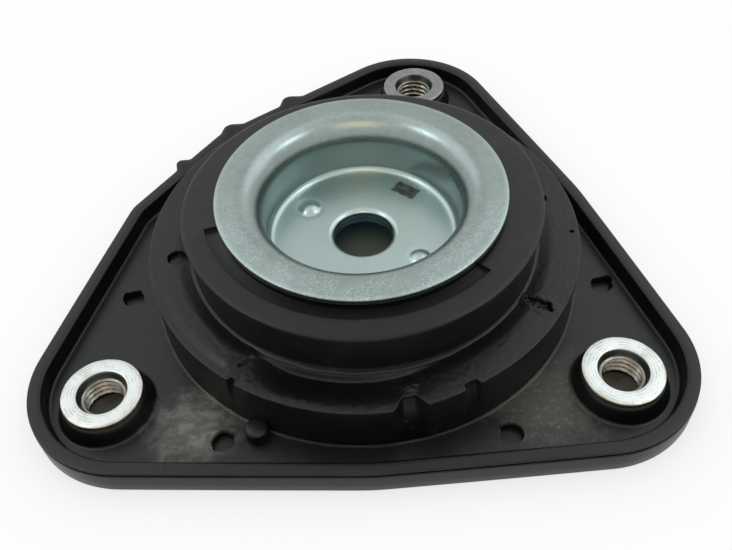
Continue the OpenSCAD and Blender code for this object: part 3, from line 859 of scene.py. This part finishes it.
def build_cup(s, finish):
    """The pressed cup: bevelled rod hole, floor with weld dimples, wall, rolled lip and flange."""
    skin = Skin()
    angles = np.linspace(0, 2 * math.pi, 256, endpoint=False)
    top, t = s["flange_top"], s["sheet"]
    floor, low = top - s["depth"], top - s["depth"] - s["sheet"]
    fold, fold_z = s["wall"] - s["corner"], floor + s["corner"]
    bend, bend_z = s["wall"] + s["roll"], top - s["roll"]
    section = [
        (s["rod"] + 0.15, low), (s["rod"], low + 0.15), (s["rod"], floor - 0.62),
        (s["rod"] + 0.1, floor - 0.46), (s["rod"] + 0.55, floor - 0.2), (s["rod"] + 0.95, floor - 0.03),
        (s["rod"] + 1.25, floor),
    ]
    section += [(r, floor) for r in np.arange(s["rod"] + 1.7, fold - 0.4, 0.36)]
    section += arc(fold, fold_z, s["corner"], -90, 0, 9)
    section += [(s["wall"], h) for h in np.linspace(fold_z, bend_z, 6)[1:-1]]
    section += arc(bend, bend_z, s["roll"], 180, 90, 16)
    section += [(r, top) for r in np.linspace(bend, s["flange"] - 0.35, 6)[1:]]
    section += arc(s["flange"] - 0.3, top - 0.3, 0.3, 75, 0, 4)
    section += arc(s["flange"] - 0.3, top - t + 0.3, 0.3, 0, -90, 4)
    section += arc(bend, bend_z, s["roll"] - t, 90, 180, 12) + arc(fold, fold_z, s["corner"] + t, 0, -90, 9)
    dimples = [polar(s["dimple_circle"], math.radians(a)) for a in DIMPLE_BEARINGS]
    ball = (s["dimple"] ** 2 + s["dimple_height"] ** 2) / (2 * s["dimple_height"])
    rows = []
    for r, h in section:
        xy = polar(np.full(256, float(r)), angles)
        height, worn = np.full(256, float(h)), 0.0
        if abs(h - floor) < 1e-6:
            for place in dimples:
                gap = np.hypot(*(xy - place).T)
                cap = np.sqrt(np.maximum(ball**2 - gap**2, 0)) - ball + s["dimple_height"]
                height += np.maximum(cap, 0) - 0.05 * step(1.1, 0.0, np.abs(gap - s["dimple"] - 0.35))
        if s["rod"] + 0.05 < r < s["rod"] + 1.2 or h > top - 0.02 and r > s["flange"] - 0.4:
            worn = 0.5
        rows.append(skin.row(xy, height, worn))
    skin.loft(rows)
    skin.join(rows[-1], rows[0])
    return skin.piece("pressed_cup", finish, 50)


def build_dish(s, finish):
    """The dish under the cup, with rounded folds."""
    skin = Skin()
    low = s["flange_top"] - s["depth"] - s["sheet"]
    t, z = s["dish_sheet"], s["dish_height"]
    fall = (low - z - t) / (s["slope"] - s["seat"])
    wall = t * (math.sqrt(1 + fall * fall) - 1) / fall
    corners = [
        (s["rod"], low - t), (s["seat"] - wall, low - t), (s["slope"] - wall, z), (s["dish"], z),
        (s["dish"], z + t), (s["slope"], z + t), (s["seat"], low), (s["rod"], low),
    ]
    rounds = [0.25, 1.2, 1.6, 0.5, 0.5, 1.2, 1.6, 0.02]
    section = []
    for i, (corner, r) in enumerate(zip(corners, rounds)):
        here = np.array(corner)
        before, after = (np.array(corners[j % 8]) - here for j in (i - 1, i + 1))
        a, b = here + before / np.linalg.norm(before) * r, here + after / np.linalg.norm(after) * r
        section += [((1 - u) ** 2) * a + 2 * u * (1 - u) * here + u * u * b for u in np.linspace(0, 1, 5)]
    skin.lathe((0, 0), [(r, h, 0.0) for r, h in section], 192, closed=True)
    return skin.piece("bearing_dish", finish, 50)


class STRUT_OT_body(Operator):
    """Builds the moulded body"""

    bl_idname = "strut_mount.body"
    bl_label = "Moulded body"

    def execute(self, context):
        mount = context.scene.strut_mount
        body = build_body(read(mount.body), read(mount.bush), nylon_finish(mount.colours))
        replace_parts(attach(body, "plate"), "mount_body")
        return {"FINISHED"}


class STRUT_OT_bushes(Operator):
    """Builds the three threaded bushes"""

    bl_idname = "strut_mount.bushes"
    bl_label = "Threaded bushes"

    def execute(self, context):
        mount = context.scene.strut_mount
        bright = bush_finish(mount.colours, "bush_zinc", mount.colours.bush)
        # The rear bush takes the darker copy of the bush zinc, as painted shade
        painted_shade_finish = bush_finish(mount.colours, "bush_zinc_dull", mount.colours.bush_dull)
        for name, place in bush_places(read(mount.body)).items():
            bush = build_bush(f"bush_{name}", read(mount.bush), painted_shade_finish if name == "rear" else bright)
            bush.location = (place[0] / 1000, place[1] / 1000, 0)
            bush.rotation_euler = (0, 0, BUSH_SPINS[name])
            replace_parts(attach(bush, "plate"), f"threaded_bush_{name}")
        return {"FINISHED"}


class STRUT_OT_rubber(Operator):
    """Builds the rubber bush between the body and the cup"""

    bl_idname = "strut_mount.rubber"
    bl_label = "Rubber bush"

    def execute(self, context):
        mount = context.scene.strut_mount
        s, body = read(mount.rubber), read(mount.body)
        rubber = build_rubber(s, body, read(mount.cup), rubber_finish(mount.colours))
        low = (body["turret_top"] + 1.0 + UNDERSIDE) / 1000
        high = (body["turret_top"] + s["height"] - 3.0 + UNDERSIDE) / 1000
        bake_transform(rubber)
        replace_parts(rubber, "rubber_bush")
        return {"FINISHED"}


class STRUT_OT_cup(Operator):
    """Builds the pressed cup"""

    bl_idname = "strut_mount.cup"
    bl_label = "Pressed cup"

    def execute(self, context):
        mount = context.scene.strut_mount
        cup = build_cup(read(mount.cup), zinc_finish(mount.colours, "cup_zinc", True))
        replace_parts(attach(cup, "core"), "rod_cup")
        return {"FINISHED"}


class STRUT_OT_dish(Operator):
    """Builds the dish that the strut bearing seats in"""

    bl_idname = "strut_mount.dish"
    bl_label = "Bearing dish"

    def execute(self, context):
        mount = context.scene.strut_mount
        dish = build_dish(read(mount.cup), zinc_finish(mount.colours, "dish_zinc", False))
        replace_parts(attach(dish, "core"), "support_dish")
        return {"FINISHED"}


def pale_rays(n):
    """One for rays from the camera, a mirror or glass, which see the pale background."""
    path = n.add("ShaderNodeLightPath", out="Is Camera Ray").socket.node
    kinds = [Value(n, path.outputs[f"Is {kind} Ray"]) for kind in ("Camera", "Glossy", "Transmission")]
    return kinds[0].most(kinds[1]).most(kinds[2])


def soft_lamp(name, place, width, power, colour):
    """A square soft lamp that faces the part."""
    lamp = bpy.data.lights.new(name, "AREA")
    lamp.size, lamp.energy, lamp.color = width, power, colour
    obj = bpy.data.objects.new(name, lamp)
    obj.location = place
    obj.rotation_euler = (-Vector(place)).to_track_quat("-Z", "Y").to_euler()
    bpy.context.scene.collection.objects.link(obj)


class STRUT_OT_stage(Operator):
    """Builds the pale floor, the soft light and the camera"""

    bl_idname = "strut_mount.stage"
    bl_label = "Stage"

    def execute(self, context):
        scene, colours = context.scene, context.scene.strut_mount.colours
        floor = bpy.data.meshes.new("floor")
        angles = np.linspace(0, 2 * math.pi, FLOOR_SIDES, endpoint=False)
        ring = [(FLOOR_RADIUS * math.cos(a), FLOOR_RADIUS * math.sin(a), 0) for a in angles]
        floor.from_pydata(ring, [], [list(range(FLOOR_SIDES))])
        ground = bpy.data.objects.new("floor", floor)
        ground.location.z = UNDERSIDE / 1000 - 0.0001
        scene.collection.objects.link(ground)
        n = Nodes(bpy.data.materials.new("pale_floor"))
        place = n.place()
        middle = n.reach(place, 0, 0).step(0.044, 0.05)
        open_floor = middle
        for x, y in bush_places(read(context.scene.strut_mount.body)).values():
            open_floor = open_floor * n.reach(place, x, y).step(0.008, 0.011)
        # Painted shade: under the part, the floor is darker and bluer below the rod hole and darker below the
        # bushes
        shaded = n.mix(PAINTED_SHADE_UNDER_ROD, PAINTED_SHADE_UNDER_BUSH, middle)
        plain = n.add("ShaderNodeBsdfDiffuse", sockets={"Color": n.mix(shaded, colours.floor, open_floor)})
        # Painted contact shadow: ambient occlusion darkens the white that the camera sees near the part
        contact = n.add("ShaderNodeAmbientOcclusion", {"samples": 8}, {"Distance": CONTACT_REACH}, out="AO")
        white = n.add("ShaderNodeEmission", sockets={"Color": n.mix(CONTACT_SHADE, WHITE, contact)})
        share = pale_rays(n) * open_floor * 0.98
        mixed = n.add("ShaderNodeMixShader", sockets={0: share, 1: plain, 2: white})
        n.add("ShaderNodeOutputMaterial", sockets={"Surface": mixed})
        floor.materials.append(n.owner)

        world = bpy.data.worlds.new("studio")
        scene.world = world
        n = Nodes(world)
        sky = n.add("ShaderNodeBackground", sockets={"Color": n.mix(SKY_LIGHT, WHITE, pale_rays(n))})
        n.add("ShaderNodeOutputWorld", sockets={"Surface": sky})

        for lamp in LAMPS:
            soft_lamp(*lamp)

        camera = bpy.data.cameras.new("camera")
        camera.lens, camera.sensor_width, camera.sensor_fit = CAMERA_LENS, CAMERA_SENSOR, "HORIZONTAL"
        camera.clip_start, camera.clip_end = 0.01, 20
        eye = bpy.data.objects.new("camera", camera)
        axes = Matrix(CAMERA_AXES).transposed().to_4x4()
        eye.matrix_world = Matrix.Translation(CAMERA_PLACE) @ axes
        scene.collection.objects.link(eye)
        scene.camera = eye
        scene.view_settings.view_transform = "Standard"
        return {"FINISHED"}


class MountSettings(PropertyGroup):
    """All settings of the mount."""

    body: PointerProperty(type=BodySizes, name="Body", description="Sizes of the moulded body")
    bush: PointerProperty(type=BushSizes, name="Bush", description="Sizes of a threaded bush")
    rubber: PointerProperty(type=RubberSizes, name="Rubber", description="Sizes of the rubber bush")
    cup: PointerProperty(type=CupSizes, name="Cup", description="Sizes of the cup and dish")
    colours: PointerProperty(type=FinishColours, name="Colours", description="Colours of the finishes")


STEPS = (STRUT_OT_body, STRUT_OT_bushes, STRUT_OT_rubber, STRUT_OT_cup, STRUT_OT_dish, STRUT_OT_stage)


class STRUT_PT_mount(Panel):
    """Lists the steps that build the mount"""

    bl_idname = "STRUT_PT_mount"
    bl_label = "Strut mount"
    bl_space_type = "VIEW_3D"
    bl_region_type = "UI"
    bl_category = "Strut mount"

    def draw(self, context):
        for operator in STEPS:
            self.layout.operator(operator.bl_idname)


CLASSES = (BodySizes, BushSizes, RubberSizes, CupSizes, FinishColours, MountSettings, *STEPS, STRUT_PT_mount)


def register():
    for cls in CLASSES:
        bpy.utils.register_class(cls)
    bpy.types.Scene.strut_mount = PointerProperty(type=MountSettings)


def unregister():
    del bpy.types.Scene.strut_mount
    for cls in reversed(CLASSES):
        bpy.utils.unregister_class(cls)


def main():
    register()
    for name in ("body", "bushes", "rubber", "cup", "dish", "stage"):
        getattr(bpy.ops.strut_mount, name)()


if __name__ == "__main__":
    main()
